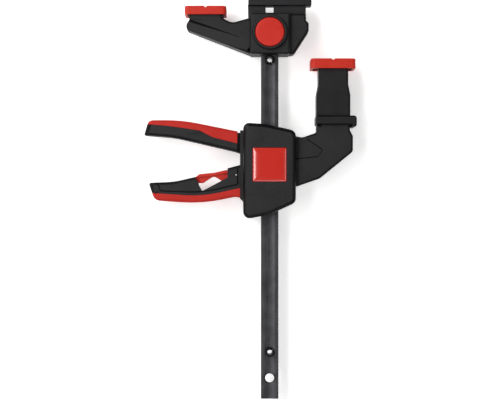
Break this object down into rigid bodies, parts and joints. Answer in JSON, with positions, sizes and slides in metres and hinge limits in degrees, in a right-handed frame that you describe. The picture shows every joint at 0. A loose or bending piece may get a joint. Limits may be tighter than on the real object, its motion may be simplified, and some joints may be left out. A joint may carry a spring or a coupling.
{
  "type": "quick release bar clamp",
  "caption": "One-handed bar clamp with a squeeze lever, a release trigger, a plug-on adapter and a fixed jaw that slides into a guide rail's groove.",
  "frame": {"origin": "centre of the hanging hole at the bar's free end, midway through the bar's thickness", "axes": "+Y along the bar from the hanging hole to the fixed jaw; +Z square to the bar's wide face, towards the side with the badge and the release button; +X towards the side of the plug-on adapter; the clamp lies on its rear cover"},
  "size_m": [0.1685, 0.3184, 0.0356],
  "materials": {
    "oxide_steel": "satin dark oxide",
    "bright_steel": "satin",
    "black_plastic": "fine matte grain",
    "dark_plastic": "satin",
    "red_plastic": "satin",
    "red_badge": "gloss",
    "red_pad": "matte"
  },
  "bodies": {
    "bar": {"bar": "oxide_steel", "lower_stop_pin": "bright_steel", "upper_stop_pin": "bright_steel", "fixed_jaw": "black_plastic", "fixed_pad": "red_pad", "latch_spring": "bright_steel"},
    "latch": {"release_button": "red_plastic", "latch_pin": "bright_steel"},
    "carriage": {"moving_jaw": "black_plastic", "front_cover": "black_plastic", "rear_cover": "black_plastic", "badge_plate": "red_badge", "cover_screws": "bright_steel", "fixed_handle": "black_plastic", "handle_grip": "red_plastic", "lever_pin": "bright_steel", "trigger_pin": "bright_steel", "drive_spring": "bright_steel", "brake_spring": "bright_steel", "jaw_adapter": "dark_plastic", "moving_pad": "red_pad"},
    "lever": {"drive_lever": "black_plastic", "lever_grip": "red_plastic"},
    "drive_plates": {"drive_plates": "bright_steel"},
    "trigger": {"release_trigger": "red_plastic"},
    "brake": {"brake_plate": "bright_steel"}
  },
  "joints": [
    {"name": "jaw_slide", "type": "slide", "parent": "bar", "child": "carriage", "axis": [0, 1, 0], "range_m": [-0.106, 0.042]},
    {"name": "button_press", "type": "slide", "parent": "bar", "child": "latch", "axis": [0, 0, -1], "range_m": [0, 0.0035], "stiffness_N_per_m": 600, "springref_m": -0.003, "deforming": ["latch_spring"]},
    {"name": "lever_pivot", "type": "hinge", "parent": "carriage", "child": "lever", "pos_m": [0.01198, 0.18497, 0], "axis": [0, 0, 1], "range_deg": [0, 12], "stiffness_Nm_per_rad": 0.8, "springref_deg": -8.59},
    {"name": "drive_slide", "type": "slide", "parent": "carriage", "child": "drive_plates", "axis": [0, -1, 0], "range_m": [0, 0.0046], "deforming": ["drive_spring"]},
    {"name": "trigger_pivot", "type": "hinge", "parent": "carriage", "child": "trigger", "pos_m": [0.01085, 0.15214, 0], "axis": [0, 0, 1], "range_deg": [0, 4.5], "stiffness_Nm_per_rad": 0.5, "springref_deg": -8.59},
    {"name": "brake_release", "type": "hinge", "parent": "carriage", "child": "brake", "pos_m": [0.01361, 0.14401, 0], "axis": [0, 0, 1], "range_deg": [0, 4], "deforming": ["brake_spring"]}
  ],
  "couplings": [
    {"joint": "drive_slide", "follows": "lever_pivot", "m_per_rad": 0.0212},
    {"joint": "brake_release", "follows": "trigger_pivot", "ratio": 0.87}
  ]
}
